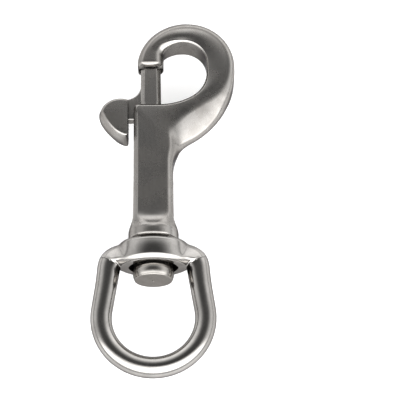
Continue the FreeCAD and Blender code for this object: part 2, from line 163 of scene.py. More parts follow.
class NodeSheet:
    """A node tree that is being written."""

    def __init__(self, tree: bpy.types.NodeTree) -> None:
        """Starts on an emptied tree."""
        self.tree = tree
        tree.nodes.clear()

    def node(self, kind: str, settings: dict | None = None,
             sockets: dict | None = None) -> bpy.types.Node:
        """Adds one node.

        Args:
            kind: The node's type name.
            settings: Attributes that are set first.
            sockets: Input sockets by name or index, each with a value or a signal.

        Returns:
            The new node.
        """
        node = self.tree.nodes.new(kind)
        for name, value in (settings or {}).items():
            setattr(node, name, value)
        for name, value in (sockets or {}).items():
            entry = node.inputs[name]
            if isinstance(value, Signal):
                self.tree.links.new(value.socket, entry)
            else:
                entry.default_value = value
        return node

    def signal(self, node: bpy.types.Node, output: str | int = 0) -> Signal:
        """One output of a node, ready for arithmetic."""
        return Signal(self.tree, node.outputs[output])


# ---------------------------------------------------------------- finishes


@dataclass(frozen=True)
class SteelFinish:
    """A stainless steel surface, from bead-blasted satin to a tumbled polish.

    Patches are soft stains a few millimetres wide, speckle and grain are the fine blasted texture,
    lines are the scratches that a polishing wheel leaves along one direction, and ripple is the
    slight waviness of a tumbled surface. Sizes and heights are in millimetres.
    """

    name: str
    colour: tuple[float, float, float]
    stain: tuple[float, float, float]
    roughness: float
    patch_size: float = 7.0
    patch_gloss: float = 0.07
    grain_size: float = 0.35
    grain_height: float = 0.004
    line_stretch: tuple[float, float, float] = (1.0, 1.0, 1.0)
    line_height: float = 0.0
    ripple_height: float = 0.0
    ripple_size: float = 9.0
    rim_tint: tuple[float, float, float, float] = (0.16, 0.16, 0.17, 1.0)

    PATCH_SHARE = 0.66
    SPECKLE_SHARE = 0.10
    LINE_SHARE = 0.20
    SPECKLE_SIZE = 2.2
    SPECKLE_GLOSS = 0.02
    NOISE_ROUGHNESS = 0.55

    def build(self) -> bpy.types.Material:
        """Makes the material.

        Returns:
            A material whose colour, roughness and bump vary over Object coordinates.
        """
        material = bpy.data.materials.new(self.name)
        material.use_nodes = True
        sheet = NodeSheet(material.node_tree)
        place = sheet.signal(sheet.node("ShaderNodeTexCoord"), "Object")

        def noise(size: float, detail: float, where: Signal = place) -> Signal:
            """A noise pattern with features of about that size in millimetres."""
            return sheet.signal(sheet.node("ShaderNodeTexNoise", None, {
                "Vector": where, "Scale": 1.0 / (size * METRES), "Detail": detail,
                "Roughness": self.NOISE_ROUGHNESS,
            }))

        patches = noise(self.patch_size, 4.0).eased(0.36, 0.66)
        speckle = noise(self.grain_size * self.SPECKLE_SIZE, 3.0).eased(0.30, 0.72)
        stretched = sheet.node("ShaderNodeMapping", None, {"Vector": place, "Scale": self.line_stretch})
        lines = noise(self.grain_size, 2.0, sheet.signal(stretched))
        grain = noise(self.grain_size, 2.0)
        ripple = noise(self.ripple_size, 1.0)

        clean = (self.PATCH_SHARE * patches + self.SPECKLE_SHARE * speckle
                 + self.LINE_SHARE * lines.eased(0.30, 0.70))
        mixed = sheet.node("ShaderNodeMix", {"data_type": "RGBA"}, {
            0: clean.clamped(),
            6: (*self.stain, 1.0),
            7: (*self.colour, 1.0),
        })
        height = (self.grain_height * grain + self.line_height * lines
                  + self.ripple_height * ripple) * METRES
        bump = sheet.node("ShaderNodeBump", None, {"Strength": 1.0, "Distance": 1.0, "Height": height})
        gloss = (self.roughness + self.patch_gloss * (0.5 - patches)
                 + self.SPECKLE_GLOSS * (speckle - 0.5))
        shader = sheet.node("ShaderNodeBsdfPrincipled", None, {
            "Base Color": sheet.signal(mixed, 2),
            "Metallic": 1.0,
            "Specular Tint": self.rim_tint,
            "Roughness": gloss.clamped(),
            "Normal": sheet.signal(bump),
        })
        sheet.node("ShaderNodeOutputMaterial", None, {"Surface": sheet.signal(shader)})
        return material


class Finishes:
    """The four finishes of the snap, made once and shared by its pieces."""

    def __init__(self) -> None:
        """Builds every material."""
        self.made = {
            Slot.SATIN: SteelFinish(
                "satin_steel", (0.318, 0.308, 0.295), (0.238, 0.226, 0.213), 0.26,
                grain_height=0.0011, line_stretch=(1.0, 0.06, 1.0), line_height=0.0006).build(),
            Slot.POLISHED: SteelFinish(
                "tumbled_steel", (0.355, 0.344, 0.33), (0.27, 0.26, 0.248), 0.16,
                grain_height=0.0015, ripple_height=0.03).build(),
            Slot.TURNED: SteelFinish(
                "turned_steel", (0.36, 0.345, 0.325), (0.30, 0.286, 0.268), 0.22,
                grain_height=0.002).build(),
            Slot.WIRE: SteelFinish(
                "drawn_wire", (0.36, 0.35, 0.33), (0.30, 0.29, 0.275), 0.22,
                grain_height=0.001).build(),
        }

    def __getitem__(self, slot: Slot) -> bpy.types.Material:
        """The material of one slot."""
        return self.made[slot]


# ---------------------------------------------------------------- curves and shells


def smooth_rows(knots: np.ndarray, rows: np.ndarray, places: np.ndarray) -> np.ndarray:
    """Follows a table of numbers smoothly without overshooting it.

    Args:
        knots: The rising position of each row.
        rows: One row of values for each knot.
        places: Positions to read the table at.

    Returns:
        One row of values for each place.
    """
    gaps = np.diff(knots)[:, None]
    slopes = np.diff(rows, axis=0) / gaps
    tangents = np.zeros_like(rows)
    before, after = slopes[:-1], slopes[1:]
    same_way = before * after > 0
    tangents[1:-1][same_way] = (2 * before * after)[same_way] / (before + after)[same_way]
    tangents[0], tangents[-1] = slopes[0], slopes[-1]
    index = np.clip(np.searchsorted(knots, places, side="right") - 1, 0, len(gaps) - 1)
    gap = gaps[index]
    share = ((places - knots[index]) / gap[:, 0])[:, None]
    rise = share * share * (3 - 2 * share)
    return (rows[index] * (1 - rise) + rows[index + 1] * rise
            + gap * share * (1 - share) ** 2 * tangents[index]
            - gap * share ** 2 * (1 - share) * tangents[index + 1])


def lengths_along(points: np.ndarray) -> np.ndarray:
    """Each point's distance from the first, measured along the row of points."""
    return np.concatenate([[0.0], np.cumsum(np.linalg.norm(np.diff(points, axis=0), axis=1))])


class Path:
    """A flat curve of straight runs, arcs and smooth sweeps, read by its own length."""

    ARC_STEP = math.radians(1.0)
    SWEEP_STEPS = 16
    SAME_PLACE = 1e-6
    TANGENT_REACH = 0.15

    def __init__(self, start: Point) -> None:
        """Starts at a point."""
        self.points: list[Point] = [start]

    def line(self, end: Point) -> "Path":
        """Runs straight to a point."""
        self.points.append(end)
        return self

    def arc(self, centre: Point, radius: float, start: float, end: float) -> "Path":
        """Follows an arc.

        Args:
            centre: Its centre.
            radius: Its radius.
            start: The angle it starts at, in degrees from +X.
            end: The angle it ends at.

        Returns:
            The path itself.
        """
        steps = max(2, int(abs(math.radians(end - start)) / self.ARC_STEP))
        for angle in np.radians(np.linspace(start, end, steps + 1)):
            self.points.append((centre[0] + radius * math.cos(angle),
                                centre[1] + radius * math.sin(angle)))
        return self

    def sweep(self, through: Sequence[Point]) -> "Path":
        """Passes smoothly through points."""
        table = np.array([self.points[-1], *through], float)
        knots = lengths_along(table)
        places = np.linspace(0.0, knots[-1], self.SWEEP_STEPS * len(table))
        self.points += [tuple(row) for row in smooth_rows(knots, table, places)[1:]]
        return self

    def table(self) -> tuple[np.ndarray, np.ndarray]:
        """The path's points without repeats, and each one's distance from the start."""
        points = np.array(self.points, float)
        steps = np.linalg.norm(np.diff(points, axis=0), axis=1)
        points = points[np.concatenate([[True], steps > self.SAME_PLACE])]
        return points, lengths_along(points)

    def distance_of(self, point: Point) -> float:
        """How far along the path the point nearest to a given one is."""
        points, lengths = self.table()
        runs = np.diff(points, axis=0)
        share = np.sum((np.array(point) - points[:-1]) * runs, axis=1) / np.sum(runs ** 2, axis=1)
        share = np.clip(share, 0, 1)
        feet = points[:-1] + share[:, None] * runs
        best = int(np.argmin(np.linalg.norm(feet - np.array(point), axis=1)))
        return float(lengths[best] + share[best] * np.linalg.norm(runs[best]))

    def at(self, distances: np.ndarray) -> tuple[np.ndarray, np.ndarray]:
        """Points and unit tangents at distances along the path."""
        points, lengths = self.table()

        def read(where: np.ndarray) -> np.ndarray:
            """Points at distances along the path."""
            return np.stack([np.interp(where, lengths, points[:, axis]) for axis in (0, 1)], axis=1)

        ahead = read(np.minimum(distances + self.TANGENT_REACH, lengths[-1]))
        behind = read(np.maximum(distances - self.TANGENT_REACH, 0.0))
        tangents = ahead - behind
        return read(distances), tangents / np.linalg.norm(tangents, axis=1)[:, None]


@dataclass(frozen=True)
class Edge:
    """The shape of a long edge of a casting.

    Width is how far the bevel reaches into the face, depth how far it reaches down the side, radius
    how softly its two lines are rounded, and bow the share by which it swells to a smooth quarter
    of an ellipse.
    """

    width: float
    depth: float
    radius: float
    bow: float = 0.0

    @classmethod
    def round(cls, radius: float) -> "Edge":
        """An edge that is a full quarter circle."""
        reach = radius * (2.0 - math.sqrt(2.0))
        return cls(reach, reach, radius)

    def values(self) -> list[float]:
        """The four sizes as a list."""
        return [self.width, self.depth, self.radius, self.bow]


@dataclass(frozen=True)
class Station:
    """A cross-section of a casting between its inner and its outer outline.

    Inner and outer are where it meets the two outlines, the halves are half its depth there, crown
    is the swell of its faces, and steps is how many sections follow before the next station.
    """

    inner: Point
    outer: Point
    inner_half: float
    outer_half: float
    inner_edge: Edge
    outer_edge: Edge
    steps: int = 8
    crown: float = 0.0

    def values(self) -> list[float]:
        """The sizes that change smoothly from one station to the next."""
        return [self.inner_half, self.outer_half, *self.inner_edge.values(),
                *self.outer_edge.values(), self.crown]


class Section:
    """The closed outline of one cross-section: a bevelled bar with rounded corners."""

    FILLET_POINTS = 6
    SIDE_RUNS = 3
    FACE_RUNS = 12
    TANGENT_SHARE = 0.47
    WIDEST_EDGES = 0.94
    NEARLY_STRAIGHT = 1e-4

    @classmethod
    def points(cls, width: float, inner_half: float, outer_half: float, inner: Sequence[float],
               outer: Sequence[float], crown: float) -> np.ndarray:
        """Lays out the section.

        Args:
            width: Distance between the inner and the outer side.
            inner_half: Half the depth at the inner side.
            outer_half: Half the depth at the outer side.
            inner: Width, depth, radius and bow of the inner edge.
            outer: The same sizes of the outer edge.
            crown: How far both faces swell in their middle.

        Returns:
            Points (across, depth), anticlockwise from the inner side's lower corner.
        """
        reach = min(1.0, cls.WIDEST_EDGES * width / (inner[0] + outer[0]))
        near, far = inner[0] * reach, width - outer[0] * reach
        inner_side, outer_side = inner_half - inner[1], outer_half - outer[1]
        corners = np.array([
            (0.0, inner_side), (near, inner_half), (far, outer_half), (width, outer_side),
            (width, -outer_side), (far, -outer_half), (near, -inner_half), (0.0, -inner_side),
        ])
        squares = np.array([(0.0, inner_half), (width, outer_half),
                            (width, -outer_half), (0.0, -inner_half)])
        outline: list[np.ndarray] = []
        for i, square in enumerate(squares):
            sizes = inner if i in (0, 3) else outer
            bevel = [cls.fillet(corners[k - 1], corners[k], corners[(k + 1) % len(corners)], sizes[2])
                     for k in (2 * i, 2 * i + 1)]
            outline.append(cls.bowed(*bevel, square, sizes[3]))
        closed: list[np.ndarray] = []
        for i, edge in enumerate(outline):
            across_face = i in (0, 2)
            runs = cls.FACE_RUNS if across_face else cls.SIDE_RUNS
            shares = np.linspace(0, 1, runs + 1)[1:-1, None]
            start, end = edge[-1], outline[(i + 1) % len(outline)][0]
            run = start + (end - start) * shares
            if across_face:
                run[:, 1] += (crown if i == 0 else -crown) * 4 * shares[:, 0] * (1 - shares[:, 0])
            closed += [edge, run]
        return np.concatenate(closed)

    @classmethod
    def bowed(cls, first: np.ndarray, last: np.ndarray, square: np.ndarray,
              bow: float) -> np.ndarray:
        """Joins an edge's two fillets, and swells it towards a quarter of an ellipse.

        Args:
            first: The points of the fillet it starts with.
            last: The points of the fillet it ends with.
            square: Where the edge's corner would be without a bevel.
            bow: The share of the swell.

        Returns:
            The edge's points.
        """
        middle = (first[-1:] + last[:1]) / 2
        bevel = np.concatenate([first, middle, last])
        shares = np.linspace(0, 1, len(bevel))[:, None]
        swell = ((1 - shares) ** 2 * bevel[0] + 2 * shares * (1 - shares) * square
                 + shares ** 2 * bevel[-1])
        return bevel + (swell - bevel) * bow

    @classmethod
    def fillet(cls, before: np.ndarray, corner: np.ndarray, after: np.ndarray,
               radius: float) -> np.ndarray:
        """Rounds one corner of the outline.

        Args:
            before: The corner before it.
            corner: The corner itself.
            after: The corner after it.
            radius: The radius wanted, made smaller where the sides are too short for it.

        Returns:
            The points of the arc.
        """
        back, onward = before - corner, after - corner
        room = cls.TANGENT_SHARE * min(np.linalg.norm(back), np.linalg.norm(onward))
        back, onward = back / np.linalg.norm(back), onward / np.linalg.norm(onward)
        half = 0.5 * math.acos(max(-1.0, min(1.0, float(back @ onward))))
        tangent = min(radius / math.tan(half), room)
        shares = np.linspace(0, 1, cls.FILLET_POINTS)
        if math.cos(half) < cls.NEARLY_STRAIGHT:
            return (corner + np.outer(1 - shares, back) * tangent
                    + np.outer(shares, onward) * tangent)
        radius = tangent * math.tan(half)
        middle = back + onward
        centre = corner + middle / np.linalg.norm(middle) * radius / math.sin(half)
        arm, last = corner + back * tangent - centre, corner + onward * tangent - centre
        turn = math.pi - 2 * half
        weights = np.stack([np.sin((1 - shares) * turn), np.sin(shares * turn)], axis=1)
        return centre + weights / math.sin(turn) @ np.stack([arm, last])


class Shell:
    """Makes closed meshes, in millimetres."""

    SMOOTH_ANGLE = math.radians(31.0)
    SOFTENING = 6
    DOUBLES = 1e-3
    POLE_RADIUS = 1e-3

    @staticmethod
    def add(name: str, points: np.ndarray, faces: Sequence[Sequence[int]]) -> bpy.types.Object:
        """Makes an object from points and faces, with its normals turned outwards."""
        mesh = bpy.data.meshes.new(name)
        mesh.from_pydata([tuple(point) for point in points], [], faces)
        thing = bpy.data.objects.new(name, mesh)
        bpy.context.scene.collection.objects.link(thing)
        Shell.face_out(mesh)
        return thing

    @staticmethod
    def face_out(mesh: bpy.types.Mesh) -> None:
        """Merges doubles, removes slivers and turns every face outwards."""
        work = bmesh.new()
        work.from_mesh(mesh)
        bmesh.ops.remove_doubles(work, verts=work.verts, dist=Shell.DOUBLES)
        bmesh.ops.triangulate(work, faces=[face for face in work.faces if len(face.verts) > 4])
        bmesh.ops.dissolve_degenerate(work, edges=work.edges, dist=Shell.DOUBLES)
        bmesh.ops.recalc_face_normals(work, faces=work.faces)
        work.to_mesh(mesh)
        work.free()

    @staticmethod
    def skin(name: str, rings: np.ndarray, looped: bool = False) -> bpy.types.Object:
        """Covers a row of closed rings, which have the same number of points.

        Args:
            name: The object's name.
            rings: Points, as rings by points by three.
            looped: Whether the last ring joins the first. Otherwise both ends are capped.

        Returns:
            The new object.
        """
        count, size = rings.shape[:2]
        faces: list[list[int]] = []
        for ring in range(count if looped else count - 1):
            low, high = ring * size, ((ring + 1) % count) * size
            faces += [[low + i, low + (i + 1) % size, high + (i + 1) % size, high + i]
                      for i in range(size)]
        if not looped:
            faces += [list(range(size)), list(range((count - 1) * size, count * size))]
        return Shell.add(name, rings.reshape(-1, 3), faces)

    @staticmethod
    def turned(name: str, profile: Sequence[Point], centre_x: float = 0.0,
               around: int = 128) -> bpy.types.Object:
        """Turns a profile round an axis that runs along Y.

        Args:
            name: The object's name.
            profile: Points (radius, height along Y), which may start and end on the axis.
            centre_x: Where the axis is.
            around: Points in each ring.

        Returns:
            The new object.
        """
        angles = np.linspace(0, 2 * math.pi, around, endpoint=False)
        rings = []
        for radius, height in profile:
            radius = max(radius, Shell.POLE_RADIUS)
            rings.append(np.column_stack([centre_x + radius * np.cos(angles),
                                          np.full(around, height), radius * np.sin(angles)]))
        return Shell.skin(name, np.array(rings))

    @staticmethod
    def plate(name: str, face: np.ndarray, girth: np.ndarray, softness: np.ndarray,
              profile: Sequence[tuple[float, float, float]], rings: int = 26) -> bpy.types.Object:
        """Makes a plate whose wall swells from the outline of its faces to a wider girth.

        Args:
            name: The object's name.
            face: The outline of both faces, anticlockwise.
            girth: The outline at mid depth, point for point.
            softness: The share of the inset that each point takes.
            profile: Rows (depth, share of the swell, inset), from the front face to the middle.
            rings: How many rings to make on each side.

        Returns:
            The new object.
        """
        back = [(-depth, share, inset) for depth, share, inset in profile[-2::-1]]
        table = np.array([*profile, *back])
        knots = lengths_along(table)
        rows = smooth_rows(knots, table, np.linspace(0, knots[-1], 2 * rings + 1))
        for _ in range(Shell.SOFTENING):
            face = (np.roll(face, -1, axis=0) + 2 * face + np.roll(face, 1, axis=0)) / 4
            girth = (np.roll(girth, -1, axis=0) + 2 * girth + np.roll(girth, 1, axis=0)) / 4
            softness = (np.roll(softness, -1) + 2 * softness + np.roll(softness, 1)) / 4
        ahead, behind = np.roll(face, -1, axis=0), np.roll(face, 1, axis=0)
        along = (ahead - behind) / np.linalg.norm(ahead - behind, axis=1)[:, None]
        inward = np.stack([-along[:, 1], along[:, 0]], axis=1)
        made = []
        for depth, share, inset in rows:
            flat = face + (girth - face) * share + inward * (inset * softness)[:, None]
            made.append(np.column_stack([flat, np.full(len(flat), depth)]))
        return Shell.skin(name, np.array(made))

    @staticmethod
    def combine(target: bpy.types.Object, tool: bpy.types.Object, join: Join) -> None:
        """Cuts or fuses a tool shell with the target, and removes the tool."""
        modifier = target.modifiers.new("join", "BOOLEAN")
        modifier.operation = join.value
        modifier.solver = "EXACT"
        modifier.object = tool
        Shell.bake(target)
        Shell.face_out(target.data)
        bpy.data.objects.remove(tool)

    @staticmethod
    def drill(target: bpy.types.Object, name: str, radius: float, low: float, high: float,
              centre_x: float = 0.0) -> None:
        """Cuts a round hole along Y.

        Args:
            target: The shell to cut.
            name: The cutter's name.
            radius: The hole's radius.
            low: Where the cutter starts along Y.
            high: Where it ends.
            centre_x: Where its axis is.
        """
        profile = [(0.0, low), (radius, low), (radius, high), (0.0, high)]
        Shell.combine(target, Shell.turned(name, profile, centre_x), Join.CUT)

    @staticmethod
    def bake(thing: bpy.types.Object) -> None:
        """Replaces an object's mesh by its modifiers' result, and removes the modifiers."""
        bpy.context.view_layer.update()
        evaluated = thing.evaluated_get(bpy.context.evaluated_depsgraph_get())
        mesh = bpy.data.meshes.new_from_object(evaluated)
        thing.modifiers.clear()
        thing.data = mesh

    @staticmethod
    def finish(thing: bpy.types.Object, material: bpy.types.Material) -> None:
        """Brings a piece to metres, smooths its shading and gives it its material."""
        mesh = thing.data
        mesh.transform(Matrix.Scale(METRES, 4))
        mesh.materials.clear()
        mesh.materials.append(material)
        mesh.shade_smooth()
        mesh.set_sharp_from_angle(angle=Shell.SMOOTH_ANGLE)


class Casting:
    """Lofts cross-sections between two outlines that run side by side."""

    LEAST_SLANT = 0.3

    def __init__(self, inner: Path, outer: Path, stations: Sequence[Station]) -> None:
        """Takes the two outlines and the stations along them."""
        self.inner = inner
        self.outer = outer
        self.stations = stations

    def rows(self) -> np.ndarray:
        """Every cross-section's distances along both outlines, and its sizes."""
        knots = np.arange(len(self.stations), dtype=float)
        table = np.array([[self.inner.distance_of(station.inner),
                           self.outer.distance_of(station.outer), *station.values()]
                          for station in self.stations])
        places = [i + np.arange(station.steps) / station.steps
                  for i, station in enumerate(self.stations[:-1])]
        places = np.concatenate([*places, knots[-1:]])
        return smooth_rows(knots, table, places)

    def rings(self, rows: np.ndarray, insets: np.ndarray | None = None,
              deepen: Callable[[np.ndarray], np.ndarray] | None = None) -> np.ndarray:
        """Places the sections in space.

        Args:
            rows: Distances and sizes, one row for each section.
            insets: How far each section shrinks on all sides, for rounded ends.
            deepen: Gives the half depths anew from where the section's two ends are.

        Returns:
            Points, as rings by points by three.
        """
        insets = np.zeros(len(rows)) if insets is None else insets
        near, near_way = self.inner.at(rows[:, 0])
        far, far_way = self.outer.at(rows[:, 1])
        across = far - near
        widths = np.linalg.norm(across, axis=1)
        across = across / widths[:, None]
        made = []
        for i, row in enumerate(rows):
            slant_near = self.slant(near_way[i], across[i])
            slant_far = self.slant(far_way[i], across[i])
            inner_half, outer_half = row[2], row[3]
            if deepen is not None:
                inner_half, outer_half = deepen(row, near[i], far[i])
            inset = insets[i]
            flat = Section.points(
                widths[i] - 2 * inset, inner_half - inset, outer_half - inset,
                (row[4] / slant_near, *row[5:8]), (row[8] / slant_far, *row[9:12]), row[12])
            places = near[i] + np.outer(flat[:, 0] + inset, across[i])
            made.append(np.column_stack([places, flat[:, 1]]))
        return np.array(made)

    def slant(self, way: np.ndarray, across: np.ndarray) -> float:
        """How squarely a section meets an outline, where 1 is a right angle."""
        return max(self.LEAST_SLANT, abs(way[0] * across[1] - way[1] * across[0]))


# ---------------------------------------------------------------- the snap's pieces


class Piece:
    """A finished piece of the snap."""

    def __init__(self, thing: bpy.types.Object, node: str, body: str, slot: Slot,
                 finishes: Finishes) -> None:
        """Dresses a shell and hangs it on its body in place of its CAD node.

        Args:
            thing: The shell, in millimetres.
            node: The CAD node it stands for.
            body: The CAD body it moves with.
            slot: Its material slot.
            finishes: The finishes.
        """
        Shell.finish(thing, finishes[slot])
        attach(thing, body)
        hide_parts(node)
        self.thing = thing
        LOG.info("%s: %d faces on %s", thing.name, len(thing.data.polygons), body)


@dataclass
class HookCasting:
    """The hook, barrel and collar, cast in one piece."""

    half_barrel: float = 6.05
    half_depth: float = 5.3
    hook_half_depth: float = 5.0
    foot_y: float = 36.6
    foot_round: float = 1.2
    mouth_y: float = 81.2
    nose_y: float = 94.5
    nose_round: float = 1.5
    corner_round: float = 1.5
    bore_x: float = -0.85
    bore_radius: float = 3.85
    bore_y: float = 48.0
    slot_half: float = 1.95
    slot_y: float = 61.95
    socket_radius: float = 2.5
    socket_length: float = 6.5
    seat_radius: float = 3.75
    seat_depth: float = 1.2
    overrun: float = 3.0
    run_in: float = 1.0

    END_RINGS = 7
    SLOT_STEPS = 24
    COLLAR = (
        (36.6, 7.50), (37.3, 7.56), (38.2, 7.63), (38.9, 7.68), (39.7, 7.60), (40.4, 7.40),
        (41.0, 7.14), (41.6, 6.86), (42.2, 6.58), (42.8, 6.36), (43.6, 6.23), (46.0, 6.16),
        (52.0, 6.09), (58.0, 6.05),
    )

    def inner_path(self) -> Path:
        """The outline up the barrel's left side, along the mouth and round the inside of the hook."""
        collar = [(-half, y) for y, half in self.COLLAR]
        path = Path(collar[0]).sweep(collar[1:])
        path.line((-self.half_barrel, self.mouth_y - self.corner_round))
        path.arc((self.corner_round - self.half_barrel, self.mouth_y - self.corner_round),
                 self.corner_round, 180, 90)
        path.line((2.0, self.mouth_y)).arc((2.0, 101.22), 20.02, -90, -60.7)
        path.arc((7.15, 92.08), 9.5, -60.7, 0).line((16.65, 94.95))
        path.arc((9.1, 94.95), 7.55, 0, 133.9).arc((5.6, 98.59), 2.5, 133.9, 180)
        return path.line((3.1, self.nose_y))

    def outer_path(self) -> Path:
        """The outline up the barrel's right side, round the root and back, and over the hook."""
        collar = [(half, y) for y, half in self.COLLAR]
        path = Path(collar[0]).sweep(collar[1:])
        path.line((self.half_barrel, 60.59)).arc((16.25, 60.59), 10.2, 180, 118.76)
        path.arc((-1.65, 93.2), 27.0, -61.24, 0).line((25.35, 94.1))
        return path.arc((10.15, 94.1), 15.2, 0, 180)

    def stations(self) -> list[Station]:
        """The cross-sections from the collar's foot to the nose."""
        deep, hook = self.half_depth, self.hook_half_depth
        crisp = Edge(1.4, 1.4, 0.45)
        soft = Edge(1.9, 1.6, 1.0, 0.5)
        lip = Edge(0.85, 0.8, 0.7)
        inside = Edge(0.5, 0.6, 0.35)
        made = []
        for y, half in ((37.8, 7.60), (38.5, 7.66), (39.2, 7.66)):
            edge = Edge.round(half)
            made.append(Station((-half, y), (half, y), half, half, edge, edge, 4))
        for y, half, depth, reach, radius in (
                (39.9, 7.56, 7.5, 4.1, 6.4), (40.5, 7.37, 7.2, 3.8, 5.0), (41.2, 7.06, 6.7, 3.3, 3.6),
                (41.8, 6.76, 6.28, 2.7, 2.4), (42.5, 6.45, 5.9, 2.1, 1.4), (43.4, 6.26, 5.6, 1.6, 0.8)):
            edge = Edge(reach, reach, radius)
            made.append(Station((-half, y), (half, y), depth, depth, edge, edge, 4))
        made += [
            Station((-6.2, 45.0), (6.2, 45.0), 5.4, 5.4, crisp, soft, 8, 0.1),
            Station((-6.06, 58.0), (6.06, 55.0), deep, deep, crisp, soft, 10, 0.14),
            Station((-6.05, 72.0), (6.05, 60.0), deep, deep, crisp, soft, 8, 0.14),
            Station((-6.05, 78.8), (6.35, 63.0), deep, deep, Edge(1.2, 1.2, 0.5),
                    Edge(2.4, 1.8, 1.3, 0.5), 5, 0.12),
            Station((-5.9, 80.6), (6.5, 64.2), deep, deep, Edge(1.0, 1.0, 0.6),
                    Edge(2.75, 2.1, 1.6, 0.5), 5, 0.12),
            Station((-5.4, 81.1), (6.8, 65.2), deep, deep, lip, Edge(3.3, 2.4, 2.0, 0.5), 5, 0.12),
            Station((-4.2, 81.2), (7.2, 66.3), deep, deep, lip, Edge(4.25, 2.85, 2.8, 0.45), 8, 0.1),
            Station((2.0, 81.2), (8.9, 68.9), deep, deep, lip, Edge(8.1, 4.1, 6.0, 0.4), 10, 0.05),
            Station((8.5, 82.3), (13.2, 71.0), deep, deep, lip, Edge(9.2, 4.3, 7.0, 0.35), 10, 0.0),
            Station((12.9, 84.5), (18.9, 76.0), 5.2, 5.2, Edge(0.8, 0.8, 0.5),
                    Edge(7.8, 3.9, 6.0, 0.4), 10, 0.0),
            Station((15.9, 88.3), (23.5, 83.6), 5.1, 5.1, Edge(0.7, 0.8, 0.45),
                    Edge(4.6, 2.5, 3.0, 0.7), 10, 0.1),
            Station((16.65, 93.2), (25.35, 93.4), hook, hook, inside,
                    Edge(1.9, 1.5, 1.4, 0.8), 10, 0.22),
            Station((15.7, 98.6), (23.4, 101.6), hook, hook, inside,
                    Edge(1.3, 1.1, 1.3, 0.5), 10, 0.25),
            Station((12.9, 101.5), (17.7, 107.3), hook, hook, inside,
                    Edge(1.5, 1.1, 1.4, 0.6), 10, 0.3),
            Station((9.1, 102.5), (10.0, 109.3), hook, hook, inside,
                    Edge(1.9, 1.3, 1.5, 0.7), 10, 0.34),
            Station((5.6, 101.6), (3.0, 107.5), hook, hook, Edge(1.0, 1.0, 0.9),
                    Edge(1.5, 1.3, 1.6), 8, 0.2),
            Station((3.6, 100.1), (-1.6, 103.7), hook, hook, Edge(1.7, 1.6, 2.0),
                    Edge(1.5, 1.3, 1.6), 8, 0.12),
            Station((3.1, 98.4), (-3.9, 99.9), hook, hook, Edge(2.1, 2.1, 2.2, 0.3),
                    Edge(1.5, 1.3, 1.4), 8, 0.05),
            Station((3.1, 96.0), (-4.95, 96.0), hook, hook, Edge(2.1, 2.1, 2.2, 0.3),
                    Edge(1.5, 1.4, 1.5), 1, 0.04),
        ]
        return made

    def build(self, finishes: Finishes) -> Piece:
        """Makes the casting and cuts its openings.

        Args:
            finishes: The finishes.

        Returns:
            The hook, fixed to the body.
        """
        casting = Casting(self.inner_path(), self.outer_path(), self.stations())
        rows = casting.rows()
        turn = np.linspace(0, math.pi / 2, self.END_RINGS + 1)
        foot = np.repeat(rows[:1], self.END_RINGS, axis=0)
        foot[:, :2] = rows[0, :2] * (1 - np.cos(turn[:-1]))[:, None]
        nose = np.repeat(rows[-1:], self.END_RINGS, axis=0)
        nose[:, :2] += self.nose_round * np.sin(turn[1:])[:, None]
        insets = np.concatenate([self.foot_round * (1 - np.sin(turn[:-1])), np.zeros(len(rows)),
                                 self.nose_round * (1 - np.cos(turn[1:]))])
        rings = casting.rings(np.concatenate([foot, rows, nose]), insets)
        thing = Shell.skin("hook_casting", rings)
        self.cut(thing)
        return Piece(thing, "hook_body", "body", Slot.SATIN, finishes)

    def cut(self, thing: bpy.types.Object) -> None:
        """Cuts the bolt's bore, the web's slot, the tip's seat and the socket of the stud's tail."""
        top = self.mouth_y + self.overrun
        Shell.drill(thing, "bore", self.bore_radius, self.bore_y, top, self.bore_x)
        turn = np.linspace(0, math.pi, self.SLOT_STEPS + 1)
        foot = self.slot_y + self.slot_half
        outline = [(foot - self.slot_half * math.sin(angle), -self.slot_half * math.cos(angle))
                   for angle in turn]
        outline += [(top, self.slot_half), (top, -self.slot_half)]
        sides = [self.bore_x, -self.half_barrel - self.overrun]
        slot = Shell.skin("slot", np.array([[(x, y, z) for y, z in outline] for x in sides]))
        Shell.combine(thing, slot, Join.CUT)
        Shell.drill(thing, "seat", self.seat_radius, self.nose_y - self.run_in,
                    self.nose_y + self.seat_depth, self.bore_x)
        Shell.drill(thing, "socket", self.socket_radius, self.foot_y - self.run_in,
                    self.foot_y + self.socket_length)


